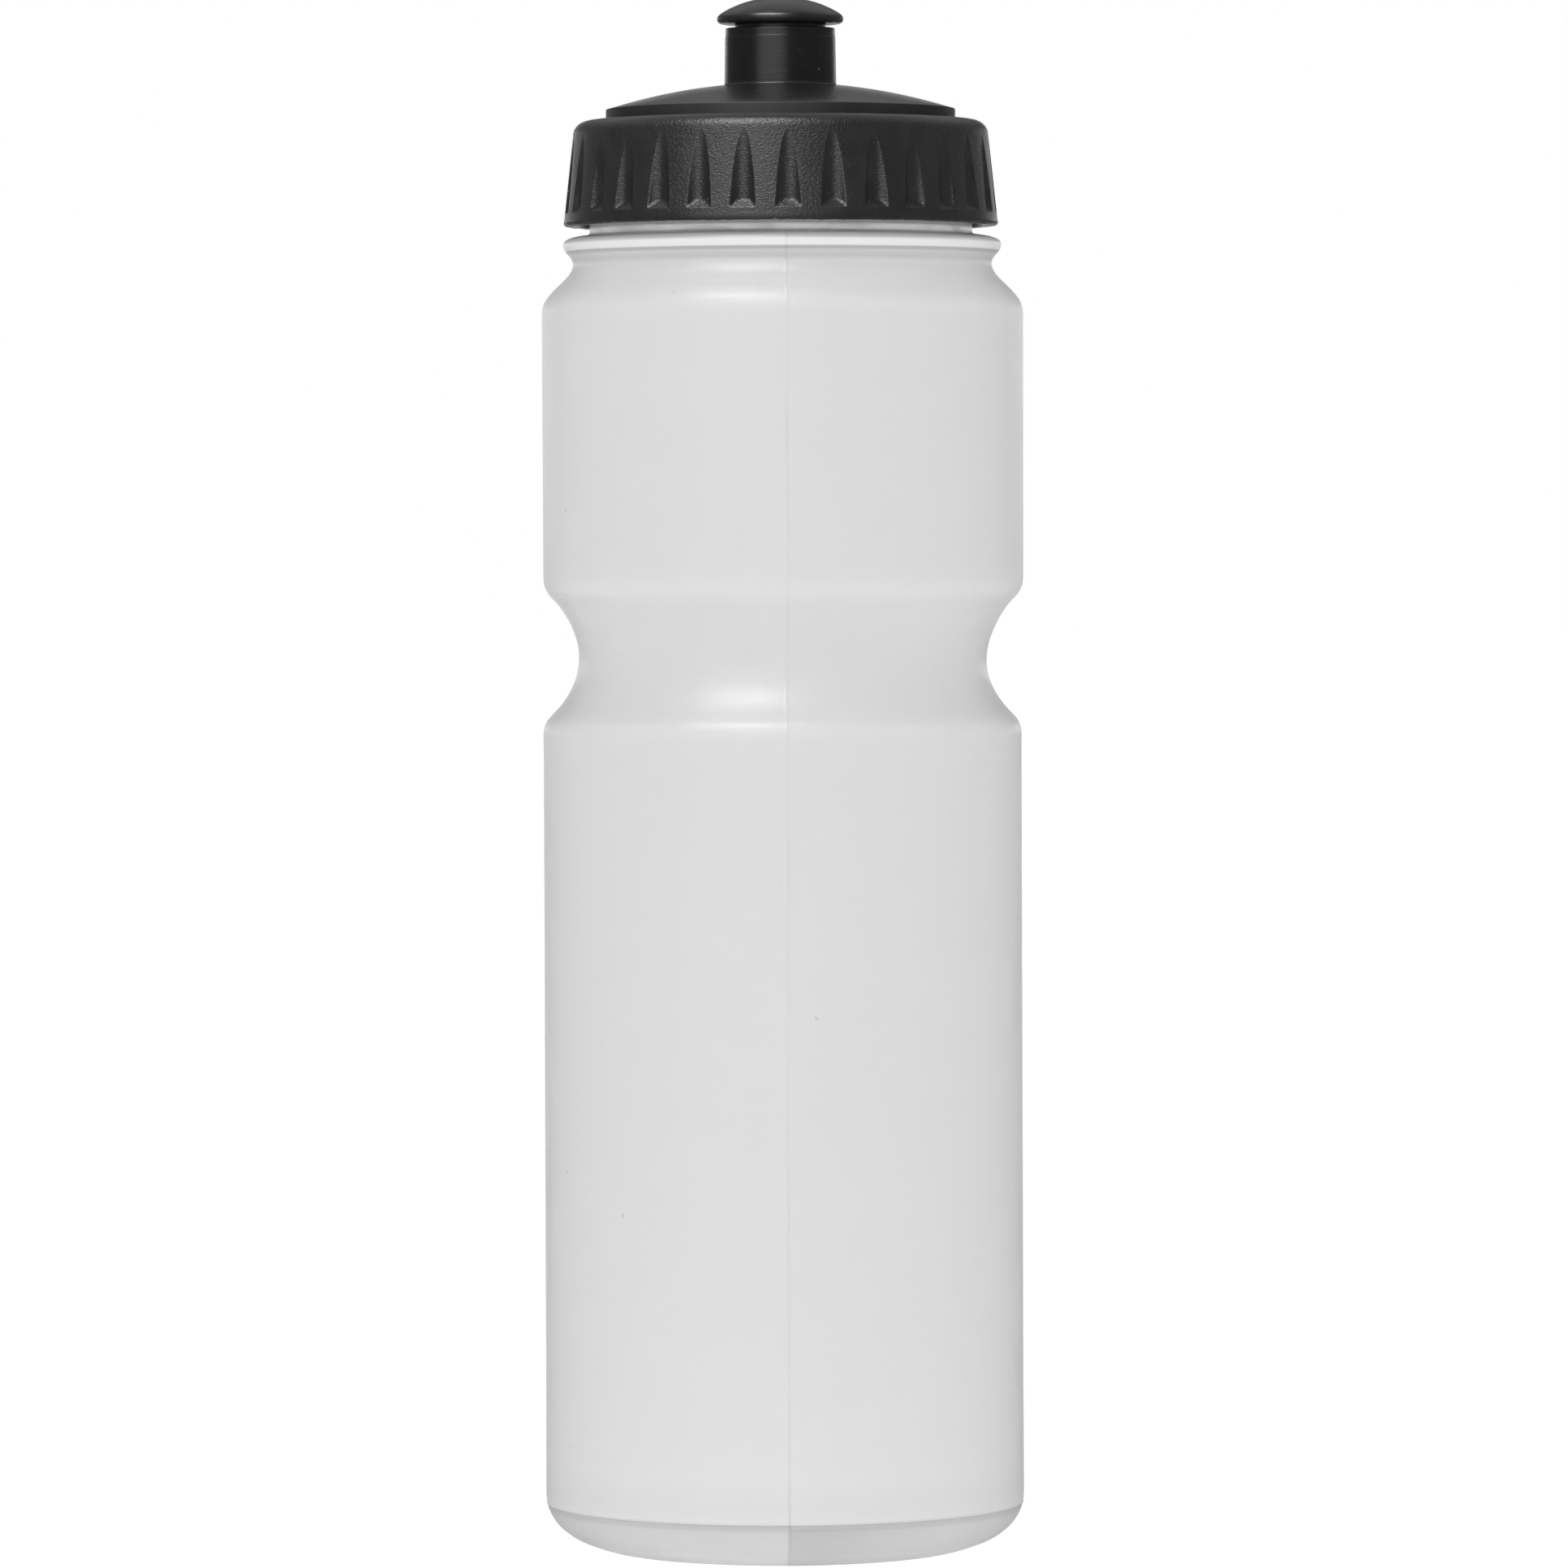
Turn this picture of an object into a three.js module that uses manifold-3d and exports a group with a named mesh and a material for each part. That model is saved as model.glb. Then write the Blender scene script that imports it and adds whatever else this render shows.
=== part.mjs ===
// Squeeze water bottle for a bicycle cage: blow-moulded bottle, screw cap with a
// spout tower, push-pull mouthpiece and flat sealing ring.
// Millimetres, +Z up. The origin is the centre of the base, on the plane the
// bottle stands on. The Z axis is the bottle's axis of revolution.

import * as THREE from 'three';
import { mergeVertices } from 'three/addons/utils/BufferGeometryUtils.js';
import Module from 'manifold-3d';

const wasm = await Module();
wasm.setup();

// ---------------------------------------------------------------- dimensions

const BODY_SEGMENTS = 48;       // facets around the large turned shapes
const CAP_SEGMENTS = 60;        // facets around the cap's outside, two per flute
const STEM_SEGMENTS = 36;       // facets around the mouthpiece
const THREAD_STEPS = 36;        // steps in one turn of a thread

// bottle
const UPPER_R = 37.02;          // body radius above the grip groove
const LOWER_R = 36.86;          // body radius below it
const WALL = 1.1;               // blown wall
const BASE_WALL = 1.4;
const NECK_R = 29.44;           // outside of the neck, under the thread
const NECK_BORE_R = 28.0;
const BEAD_TOP_Z = 202.4;       // shelf of the bead below the neck
const LIP_Z = 216.8;            // rim of the neck
const FOOT_INNER_R = 22.2;      // flat ring that the bottle stands on
const FOOT_OUTER_R = 25.5;
const PUSH_UP_Z = 3.6;          // height of the hollow under the base

// thread, single start, right hand
const LEAD = 4.0;
const THREAD_TURNS = 1.6;
const NECK_THREAD_CREST_R = 30.5;
const NECK_THREAD_Z = 208.1;    // centre of the thread's lower end
const NECK_THREAD_ROOT_W = 2.0;
const NECK_THREAD_CREST_W = 0.9;
const CAP_THREAD_CREST_R = 29.8;
const CAP_THREAD_DROP = 1.45;   // the cap's thread runs this far below the neck's
const CAP_THREAD_ROOT_W = 1.6;
const CAP_THREAD_CREST_W = 0.7;

// cap
const CAP_BOTTOM_Z = 203.9;
const SKIRT_BOTTOM_R = 33.43;
const SKIRT_TOP_R = 31.95;
const SKIRT_TOP_Z = 220.04;
const SKIRT_FILLET = 2.3;
const SKIRT_BORE_R = 30.75;
const ROOF_Z = 218.3;           // underside of the roof, where the ring seals
const DISC_R = 26.87;           // raised disc
const DISC_EDGE_Z = 221.8;
const DOME_R = 88.8;            // spherical radius of the disc's top
const DOME_TOP_Z = 225.51;      // where the dome meets the tower
const ROOF_T = 1.6;
const TOWER_FOOT_R = 8.62;
const TOWER_R = 8.43;
const TOWER_TOP_Z = 234.26;
const TOWER_BORE_R = 7.45;
const TOWER_LIP_R = 7.10;       // inward lip that keeps the mouthpiece in
const TOWER_LIP_Z = 232.9;
const SPOKE_BOTTOM_Z = 222.5;
const SPOKE_TOP_Z = 224.6;
const SPOKE_W = 1.8;
const PIN_R = 1.9;
const PIN_HEAD_R = 2.3;
const PIN_TOP_Z = 238.4;

// flutes in the skirt
const FLUTES = 30;
const FLUTE_R = 2.25;           // radius of the scoop
const FLUTE_FLOOR_R = 31.97;    // radius of the flute's deepest line
const FLUTE_END_Z = 206.85;     // where the scoop's domed lower end begins
const FLUTE_END_H = 1.2;        // height of that dome
const FLUTE_TURN = 1.0;       // degrees from the -Y direction

// mouthpiece
const STEM_R = 6.95;
const STEM_BORE_R = 5.6;
const STEM_BOTTOM_Z = 225.0;
const STEM_BEAD_R = 7.35;
const OUTLET_R = 2.4;
const HEAD_UNDERSIDE_Z = 234.9;

// sealing ring
const RING_INNER_R = 27.2;
const RING_OUTER_R = 30.4;
const RING_BOTTOM_Z = 216.95;
const RING_TOP_Z = 218.15;

// ------------------------------------------------------------------- helpers

// A turned solid from [radius, height] pairs, counter-clockwise in the r-z plane.
function turned(points, segments) {
  const g = new THREE.LatheGeometry(
    points.map(([r, z]) => new THREE.Vector2(r, z)), segments);
  g.rotateX(Math.PI / 2);       // height to +Z
  return g;
}

// A turned ring whose profile closes on itself.
function turnedRing(points, segments) {
  return turned([...points, points[0]], segments);
}

function solid(geometry) {
  const g = geometry.index ? geometry.clone() : mergeVertices(geometry.clone());
  g.deleteAttribute('normal');
  g.deleteAttribute('uv');
  const merged = mergeVertices(g, 1e-4);
  // zero-area triangles on the axis of a turned solid go
  const kept = [];
  const idx = merged.index.array;
  for (let i = 0; i < idx.length; i += 3) {
    const [a, b, c] = [idx[i], idx[i + 1], idx[i + 2]];
    if (a !== b && b !== c && c !== a) kept.push(a, b, c);
  }
  const make = (tris) => new wasm.Manifold(new wasm.Mesh({
    numProp: 3,
    vertProperties: new Float32Array(merged.attributes.position.array),
    triVerts: new Uint32Array(tris),
  }));
  let m = make(kept);
  if (m.volume() < 0) {
    const flipped = [];
    for (let i = 0; i < kept.length; i += 3) flipped.push(kept[i], kept[i + 2], kept[i + 1]);
    m = make(flipped);
  }
  return m;
}

function toGeometry(manifold) {
  const mesh = manifold.getMesh();
  const g = new THREE.BufferGeometry();
  g.setAttribute('position', new THREE.BufferAttribute(new Float32Array(mesh.vertProperties), 3));
  g.setIndex(new THREE.BufferAttribute(new Uint32Array(mesh.triVerts), 1));
  g.computeVertexNormals();
  return g;
}

// A helical ridge. The section is a trapezoid between the root and crest radii,
// and its height tapers to almost nothing at both ends. A straight bar is
// extruded with one step per facet and then wrapped onto the helix.
function helicalRidge({ rootR, crestR, rootW, crestW, z0, turns, turn0, stepsPerTurn }) {
  const steps = Math.round(turns * stepsPerTurn);
  const length = turns * 2 * Math.PI;
  const section = new THREE.Shape();
  section.moveTo(0, -rootW / 2);
  section.lineTo(1, -crestW / 2);
  section.lineTo(1, crestW / 2);
  section.lineTo(0, rootW / 2);
  section.closePath();
  const bar = new THREE.ExtrudeGeometry(section, { depth: length, steps, bevelEnabled: false });
  const p = bar.attributes.position;
  const taper = 0.32;           // radians over which each end runs out
  for (let i = 0; i < p.count; i++) {
    const angle = p.getZ(i);
    const h = p.getX(i);
    const w = p.getY(i);
    const ease = Math.min(1, angle / taper, (length - angle) / taper);
    const rise = 0.12 + 0.88 * Math.max(0, ease);
    const r = rootR + (crestR - rootR) * h * rise;
    const a = turn0 + angle;
    p.setXYZ(i, r * Math.cos(a), r * Math.sin(a), z0 + (LEAD * angle) / (2 * Math.PI) + w);
  }
  return solid(bar);
}

// ------------------------------------------------------------------- bottle

// outside of the body, from the foot ring up to the lip
const heel = [
  [FOOT_OUTER_R, 0], [28.3, 0.42], [31.4, 1.45], [33.6, 2.7],
  [35.3, 4.25], [36.42, 6.2], [LOWER_R, 8.5],
];
const groove = [
  [LOWER_R, 125.8], [36.16, 128.05], [34.12, 130.3], [32.28, 133.3], [31.48, 136.3],
  [31.5, 138.55], [32.3, 141.55], [33.87, 144.55], [35.78, 146.8], [UPPER_R - 0.05, 149.6],
];
const shoulder = [
  [UPPER_R, 190.4], [36.19, 192.85], [33.83, 195.35], [32.35, 197.35],
  [32.47, 198.85], [33.69, 200.7], [33.3, 201.6], [31.0, BEAD_TOP_Z],
];
const outside = [
  [0, PUSH_UP_Z], [17, PUSH_UP_Z - 0.7], [20.5, 1.1], [FOOT_INNER_R, 0],
  ...heel, ...groove, ...shoulder,
  [NECK_R, BEAD_TOP_Z], [NECK_R, LIP_Z - 0.3], [NECK_R - 0.3, LIP_Z],
];
const inside = [
  [NECK_BORE_R + 0.3, LIP_Z], [NECK_BORE_R, LIP_Z - 0.3], [NECK_BORE_R, 202.3],
  [30.9, 198.8], [31.6, 196.4], [35.2, 192.1], [UPPER_R - WALL, 190.0],
  [UPPER_R - WALL, 149.9], [34.0, 146.6], [31.4, 142.1], [30.35, 138.5],
  [30.4, 135.5], [31.9, 131.8], [34.3, 128.9], [LOWER_R - WALL, 125.4],
  [LOWER_R - WALL, 9.0], [34.5, 5.7], [32.0, 3.1], [28.0, 1.85],
  [FOOT_OUTER_R - 0.2, BASE_WALL], [FOOT_INNER_R + 0.6, BASE_WALL],
  [18.6, PUSH_UP_Z + 0.6], [0, PUSH_UP_Z + BASE_WALL],
];
const neckThread = helicalRidge({
  rootR: NECK_R - 0.4, crestR: NECK_THREAD_CREST_R,
  rootW: NECK_THREAD_ROOT_W, crestW: NECK_THREAD_CREST_W,
  z0: NECK_THREAD_Z, turns: THREAD_TURNS, turn0: 0, stepsPerTurn: THREAD_STEPS,
});
const bottle = solid(turned([...outside, ...inside], BODY_SEGMENTS)).add(neckThread);

// ---------------------------------------------------------------- screw cap

const domeZ = (r) => DOME_TOP_Z + Math.sqrt(DOME_R ** 2 - r ** 2)
  - Math.sqrt(DOME_R ** 2 - TOWER_FOOT_R ** 2);
const f = SKIRT_FILLET;
const capOutside = [
  [0, CAP_BOTTOM_Z], [SKIRT_BOTTOM_R - 0.15, CAP_BOTTOM_Z], [SKIRT_BOTTOM_R, CAP_BOTTOM_Z + 0.2],
  [SKIRT_TOP_R, SKIRT_TOP_Z - f],
  [SKIRT_TOP_R - f * (1 - Math.cos(0.52)), SKIRT_TOP_Z - f * (1 - Math.sin(0.52))],
  [SKIRT_TOP_R - f * (1 - Math.cos(1.05)), SKIRT_TOP_Z - f * (1 - Math.sin(1.05))],
  [SKIRT_TOP_R - f, SKIRT_TOP_Z],
  [DISC_R, SKIRT_TOP_Z], [DISC_R, DISC_EDGE_Z - 0.35], [DISC_R - 0.35, domeZ(DISC_R - 0.35)],
  [20.5, domeZ(20.5)], [14.0, domeZ(14.0)],
  [TOWER_FOOT_R, DOME_TOP_Z], [TOWER_R, TOWER_TOP_Z - 0.2], [TOWER_R - 0.2, TOWER_TOP_Z],
  [0, TOWER_TOP_Z],
];
const capInside = [
  [0, CAP_BOTTOM_Z - 1], [SKIRT_BORE_R + 0.5, CAP_BOTTOM_Z - 1],
  [SKIRT_BORE_R + 0.5, CAP_BOTTOM_Z], [SKIRT_BORE_R, CAP_BOTTOM_Z + 0.6],
  [SKIRT_BORE_R, ROOF_Z], [DISC_R - ROOF_T, ROOF_Z],
  [DISC_R - ROOF_T, domeZ(DISC_R) - ROOF_T],
  [20.0, domeZ(20.0) - ROOF_T], [14.0, domeZ(14.0) - ROOF_T],
  [TOWER_BORE_R, domeZ(TOWER_BORE_R) - ROOF_T], [TOWER_BORE_R, TOWER_LIP_Z - 0.4],
  [TOWER_LIP_R, TOWER_LIP_Z], [TOWER_LIP_R, TOWER_TOP_Z - 0.2],
  [TOWER_LIP_R + 0.2, TOWER_TOP_Z + 0.01], [TOWER_LIP_R + 0.2, TOWER_TOP_Z + 1],
  [0, TOWER_TOP_Z + 1],
];
let cap = solid(turned(capOutside, CAP_SEGMENTS));

// flutes: vertical scoops with a round lower end, cut into the tapered skirt
const scoop = turned([
  [0, FLUTE_END_Z - FLUTE_END_H],
  [FLUTE_R * Math.sin(0.6), FLUTE_END_Z - FLUTE_END_H * Math.cos(0.6)],
  [FLUTE_R * Math.sin(1.15), FLUTE_END_Z - FLUTE_END_H * Math.cos(1.15)],
  [FLUTE_R, FLUTE_END_Z], [FLUTE_R, SKIRT_TOP_Z + 1], [0, SKIRT_TOP_Z + 1],
], 14);
for (let i = 0; i < FLUTES; i++) {
  const a = ((360 / FLUTES) * i - 90 + FLUTE_TURN) * Math.PI / 180;
  const cutter = scoop.clone();
  cutter.rotateZ(a);
  cutter.translate((FLUTE_FLOOR_R + FLUTE_R) * Math.cos(a), (FLUTE_FLOOR_R + FLUTE_R) * Math.sin(a), 0);
  cap = cap.subtract(solid(cutter));
}
cap = cap.subtract(solid(turned(capInside, BODY_SEGMENTS)));

// thread inside the skirt, meshing just below the neck's thread
cap = cap.add(helicalRidge({
  rootR: SKIRT_BORE_R + 0.35, crestR: CAP_THREAD_CREST_R,
  rootW: CAP_THREAD_ROOT_W, crestW: CAP_THREAD_CREST_W,
  z0: NECK_THREAD_Z - CAP_THREAD_DROP, turns: THREAD_TURNS - 0.1, turn0: 0,
  stepsPerTurn: THREAD_STEPS,
}));

// central pin that plugs the mouthpiece, carried by three spokes
cap = cap.add(solid(turned([
  [0, SPOKE_BOTTOM_Z - 0.3], [2.4, SPOKE_BOTTOM_Z - 0.3], [2.9, SPOKE_BOTTOM_Z + 0.2],
  [2.9, SPOKE_TOP_Z], [PIN_R, SPOKE_TOP_Z + 1.6], [PIN_R, 234.0],
  [PIN_HEAD_R, 234.6], [PIN_HEAD_R, PIN_TOP_Z - 0.25], [PIN_HEAD_R - 0.25, PIN_TOP_Z],
  [0, PIN_TOP_Z],
], 20)));
for (let i = 0; i < 3; i++) {
  const spoke = new THREE.BoxGeometry(TOWER_BORE_R + 0.6, SPOKE_W, SPOKE_TOP_Z - SPOKE_BOTTOM_Z);
  spoke.translate((TOWER_BORE_R + 0.6) / 2 + 0.6, 0, (SPOKE_TOP_Z + SPOKE_BOTTOM_Z) / 2);
  spoke.rotateZ((120 * i + 90) * Math.PI / 180);
  cap = cap.add(solid(spoke));
}

// --------------------------------------------------------------- mouthpiece

const head = [
  [OUTLET_R, 238.68], [2.75, 238.84], [4.75, 238.45], [6.85, 237.74], [8.41, 237.01],
  [9.48, 236.26], [9.72, 235.8], [9.6, 235.3], [9.2, HEAD_UNDERSIDE_Z],
];
const mouthpiece = solid(turnedRing([
  [STEM_BORE_R, STEM_BOTTOM_Z], [STEM_BEAD_R - 0.35, STEM_BOTTOM_Z],
  [STEM_BEAD_R, STEM_BOTTOM_Z + 0.5], [STEM_BEAD_R, STEM_BOTTOM_Z + 1.2],
  [STEM_R, STEM_BOTTOM_Z + 1.6], [STEM_R, HEAD_UNDERSIDE_Z],
  ...[...head].reverse(),
  [OUTLET_R, 237.0], [4.6, 237.0], [STEM_BORE_R, 235.9],
], STEM_SEGMENTS));

// ------------------------------------------------------------- sealing ring

const sealingRing = solid(turnedRing([
  [RING_INNER_R, RING_BOTTOM_Z], [RING_OUTER_R, RING_BOTTOM_Z],
  [RING_OUTER_R, RING_TOP_Z], [RING_INNER_R, RING_TOP_Z],
], BODY_SEGMENTS));

// ----------------------------------------------------------------- assembly

function piece(name, manifold, material) {
  const mesh = new THREE.Mesh(toGeometry(manifold), material);
  mesh.name = name;
  return mesh;
}

const milkyPolythene = new THREE.MeshStandardMaterial({ color: 0xdcdcda, roughness: 0.45, metalness: 0 });
const blackPolythene = new THREE.MeshStandardMaterial({ color: 0x1b1b1c, roughness: 0.5, metalness: 0 });
const blackMouth = new THREE.MeshStandardMaterial({ color: 0x19191a, roughness: 0.42, metalness: 0 });
const clearSilicone = new THREE.MeshStandardMaterial({ color: 0xe4e4e0, roughness: 0.5, metalness: 0 });

const object = new THREE.Group();
object.add(
  piece('bottle', bottle, milkyPolythene),
  piece('sealing_ring', sealingRing, clearSilicone),
  piece('screw_cap', cap, blackPolythene),
  piece('mouthpiece', mouthpiece, blackMouth),
);

export default object;
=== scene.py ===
"""Bicycle squeeze bottle: a milky blow-moulded bottle, a black screw cap with a spout tower,
a push-pull mouthpiece and a sealing ring. Metres, +Z up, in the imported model's frame."""
import bpy
import math
import numpy as np
from mathutils import Matrix, Vector


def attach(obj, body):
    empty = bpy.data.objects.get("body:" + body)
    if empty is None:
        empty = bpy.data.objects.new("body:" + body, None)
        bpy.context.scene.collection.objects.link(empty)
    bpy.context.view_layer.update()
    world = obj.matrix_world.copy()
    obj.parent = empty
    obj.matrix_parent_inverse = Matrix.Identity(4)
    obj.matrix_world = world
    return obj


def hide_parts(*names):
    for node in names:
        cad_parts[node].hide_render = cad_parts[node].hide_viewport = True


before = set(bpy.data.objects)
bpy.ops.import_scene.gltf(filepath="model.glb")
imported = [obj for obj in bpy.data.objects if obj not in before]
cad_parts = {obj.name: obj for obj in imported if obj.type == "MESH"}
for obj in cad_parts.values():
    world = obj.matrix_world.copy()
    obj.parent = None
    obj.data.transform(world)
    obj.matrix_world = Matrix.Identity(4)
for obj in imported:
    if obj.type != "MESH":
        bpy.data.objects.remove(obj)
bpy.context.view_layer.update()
scene = bpy.context.scene

MM = 0.001
TAU = 2 * math.pi
FRONT = -math.pi / 2            # the -Y direction, where the front parting line is


# ------------------------------------------------------------------ outlines

def cubic(points, step=0.1):
    """A natural cubic through (r, z) points, parametrised by chord length, closely sampled."""
    p = np.array(points, float)
    h = np.hypot(*np.diff(p, axis=0).T)
    n = len(p)
    a, b = np.zeros((n, n)), np.zeros((n, 2))
    a[0, 0] = a[-1, -1] = 1
    for i in range(1, n - 1):
        a[i, i - 1], a[i, i], a[i, i + 1] = h[i - 1], 2 * (h[i - 1] + h[i]), h[i]
        b[i] = 6 * ((p[i + 1] - p[i]) / h[i] - (p[i] - p[i - 1]) / h[i - 1])
    m = np.linalg.solve(a, b)
    out = []
    for i in range(n - 1):
        k = max(1, int(np.ceil(h[i] / step)))
        s = np.linspace(0, 1, k, endpoint=False)[:, None]
        q = 1 - s
        out.append(q * p[i] + s * p[i + 1]
                   + ((q ** 3 - q) * m[i] + (s ** 3 - s) * m[i + 1]) * h[i] ** 2 / 6)
    out.append(p[-1:])
    return np.vstack(out)


def thinned(line, turn=2.2, longest=6.0):
    """Drops samples of a polyline where it is nearly straight."""
    d = np.diff(line, axis=0)
    heading = np.unwrap(np.arctan2(d[:, 1], d[:, 0]))
    length = np.hypot(*d.T)
    keep, turned, gone = [0], 0.0, length[0]
    for i in range(1, len(line) - 1):
        turned += abs(heading[i] - heading[i - 1])
        if turned > math.radians(turn) or gone > longest:
            keep.append(i)
            turned, gone = 0.0, 0.0
        gone += length[i]
    return line[keep + [len(line) - 1]]


def rounded(points, closed=False):
    """A polyline of (r, z, fillet radius) corners, with each corner rounded and the flats
    held flat by a support point beside each arc."""
    pts = [np.array(p[:2], float) for p in points]
    radius = [p[2] if len(p) > 2 else 0.0 for p in points]
    n, out = len(pts), []
    for i in range(n):
        if not closed and i in (0, n - 1) or radius[i] <= 0:
            out.append(pts[i])
            continue
        p, a, b = pts[i], pts[i - 1], pts[(i + 1) % n]
        u, v = a - p, b - p
        lu, lv = np.linalg.norm(u), np.linalg.norm(v)
        u, v = u / lu, v / lv
        bend = math.pi - math.acos(np.clip(u @ v, -1, 1))
        if bend < 0.02:
            out.append(p)
            continue
        t = min(radius[i] * math.tan(bend / 2), 0.46 * lu, 0.46 * lv)
        rad = t / math.tan(bend / 2)
        centre = p + (u + v) / np.linalg.norm(u + v) * rad / math.cos(bend / 2)
        start, stop = p + u * t, p + v * t
        s0, s1 = start - centre, stop - centre
        k = max(2, int(math.ceil(math.degrees(bend) / 20)))
        side = min(0.12 + 0.1 * rad, 0.3)
        if lu - t > 2.5 * side:
            out.append(start + u * side)
        for j in range(k + 1):
            w = j / k
            out.append(centre + (math.sin((1 - w) * bend) * s0 + math.sin(w * bend) * s1) / math.sin(bend))
        if lv - t > 2.5 * side:
            out.append(stop + v * side)
    return np.array(out)


def shifted(line, distance):
    """The polyline moved to its left by a distance, which may vary along it."""
    d = np.gradient(line, axis=0)
    d /= np.hypot(*d.T)[:, None]
    return line + np.c_[-d[:, 1], d[:, 0]] * np.reshape(distance, (-1, 1))


def ease(x):
    x = np.clip(x, 0.0, 1.0)
    return x * x * (3 - 2 * x)


# -------------------------------------------------------------------- meshes

def ring_row(angles, r, z):
    """One row of points around the axis; r and z may vary with the angle."""
    r, z = np.broadcast_to(r, np.shape(angles)), np.broadcast_to(z, np.shape(angles))
    return np.c_[r * np.cos(angles), r * np.sin(angles), z]


def skin(name, rows, loop=False):
    """A mesh from rows of points around the axis. Neighbouring rows have as many points as
    each other, or one has a whole multiple of the other's, or one is a single point."""
    verts = np.vstack(rows) * MM
    start = np.cumsum([0] + [len(r) for r in rows])
    faces = []
    pairs = [(i, i + 1) for i in range(len(rows) - 1)] + ([(len(rows) - 1, 0)] if loop else [])
    for a, b in pairs:
        na, nb, sa, sb = len(rows[a]), len(rows[b]), start[a], start[b]
        if na == nb:
            for j in range(na):
                k = (j + 1) % na
                faces.append((sa + j, sa + k, sb + k, sb + j))
        elif na == 1:
            faces += [(sa, sb + (j + 1) % nb, sb + j) for j in range(nb)]
        elif nb == 1:
            faces += [(sa + j, sa + (j + 1) % na, sb) for j in range(na)]
        else:
            up = na > nb                      # the first row is the finer one
            nf, nc, sf, sc = (na, nb, sa, sb) if up else (nb, na, sb, sa)
            m = nf // nc
            assert nf == m * nc
            for j in range(nc):
                c0, c1 = sc + j, sc + (j + 1) % nc
                half = m // 2
                for q in range(m):
                    f0, f1 = sf + j * m + q, sf + (j * m + q + 1) % nf
                    c = c0 if q < half else c1
                    faces.append((f0, f1, c) if up else (f1, f0, c))
                mid = sf + j * m + half
                faces.append((mid, c1, c0) if up else (mid, c0, c1))
    mesh = bpy.data.meshes.new(name)
    mesh.from_pydata([tuple(v) for v in verts], [], [tuple(int(i) for i in f) for f in faces])
    mesh.validate()
    mesh.polygons.foreach_set("use_smooth", [True] * len(mesh.polygons))
    mesh.update()
    obj = bpy.data.objects.new(name, mesh)
    scene.collection.objects.link(obj)
    return obj


def turned(name, outline, columns, loop=False):
    """A plain turned piece."""
    angles = np.arange(columns) * TAU / columns
    rows = [ring_row(angles if r > 1e-6 else angles[:1], r, z) for r, z in outline]
    return skin(name, rows, loop)


def helix(angles, z, low, lead, turns, height, root, crest, taper=0.32):
    """Height of a helical ridge at a height z, for each angle."""
    out = np.zeros(len(angles))
    base = np.mod(angles, TAU)
    for k in range(int(turns) + 1):
        phi = base + TAU * k
        away = np.abs(z - (low + lead * phi / TAU))
        side = ease((root / 2 - away) / (root / 2 - crest / 2))
        end = ease(np.minimum(phi, turns * TAU - phi) / taper + 0.02)
        inside = (phi >= 0) & (phi <= turns * TAU)
        out = np.maximum(out, height * side * end * inside)
    return out


# -------------------------------------------------------------------- bottle

WALL, NECK_R, BORE_R, LIP = 1.1, 29.44, 28.0, 216.8

# outside, from the flat foot ring to the bead under the neck
body_outside = cubic([
    (25.4, 0.0), (26.8, 0.11), (28.3, 0.40), (30.3, 1.05), (32.2, 1.84), (33.6, 2.72), (34.8, 3.72),
    (35.79, 4.96), (36.42, 6.2), (36.77, 7.45), (36.885, 8.6), (36.9, 10.5), (36.895, 14), (36.87, 25),
    (36.86, 45), (36.85, 70), (36.84, 95), (36.84, 112), (36.842, 120), (36.845, 123.2),
    (36.853, 124.6), (36.87, 125.3), (36.872, 125.9), (36.830, 126.4), (36.694, 127.0),
    (36.444, 127.6), (36.039, 128.2), (35.496, 128.8), (34.915, 129.4), (34.370, 130.0),
    (33.884, 130.6), (33.44, 131.2), (32.834, 132.2), (32.236, 133.4), (31.817, 134.6),
    (31.558, 135.8), (31.436, 137.0), (31.470, 138.2), (31.640, 139.4), (31.965, 140.6),
    (32.397, 141.8), (32.955, 143.0), (33.645, 144.2), (34.239, 145.1), (34.697, 145.7),
    (35.251, 146.3), (35.838, 146.9), (36.290, 147.5), (36.604, 148.1), (36.815, 148.7),
    (36.920, 149.3), (36.958, 149.9), (36.968, 150.8), (36.972, 152.5), (36.985, 160), (37.005, 172),
    (37.02, 182), (37.026, 187), (37.028, 189.4), (37.028, 190.1), (37.022, 190.6), (36.973, 191.1),
    (36.854, 191.6), (36.655, 192.1), (36.371, 192.6), (36.010, 193.1), (35.597, 193.6),
    (35.135, 194.1), (34.626, 194.6), (34.100, 195.1), (33.589, 195.6), (33.128, 196.1),
    (32.745, 196.6), (32.460, 197.1), (32.290, 197.6), (32.243, 198.1), (32.342, 198.6),
    (32.633, 199.1), (33.065, 199.6), (33.43, 200.08), (33.63, 200.5), (33.70, 200.92),
    (33.62, 201.33), (33.33, 201.68), (32.80, 201.96), (31.9, 202.2), (31.0, 202.34),
    (30.2, 202.42), (29.72, 202.56), (29.5, 202.82), (29.45, 203.2), (29.44, 203.8),
])
foot = cubic([
    (0.35, 3.60), (4, 3.59), (8, 3.54), (12, 3.42), (15, 3.2), (17.2, 2.72), (18.9, 1.95),
    (20.1, 1.2), (21.0, 0.58), (21.8, 0.17), (22.6, 0.01), (23.4, 0.0),
])
neck_top = rounded([(NECK_R, 215.6, 0), (NECK_R, LIP, 0.35), (BORE_R, LIP, 0.35), (BORE_R, 215.6, 0)])

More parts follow.
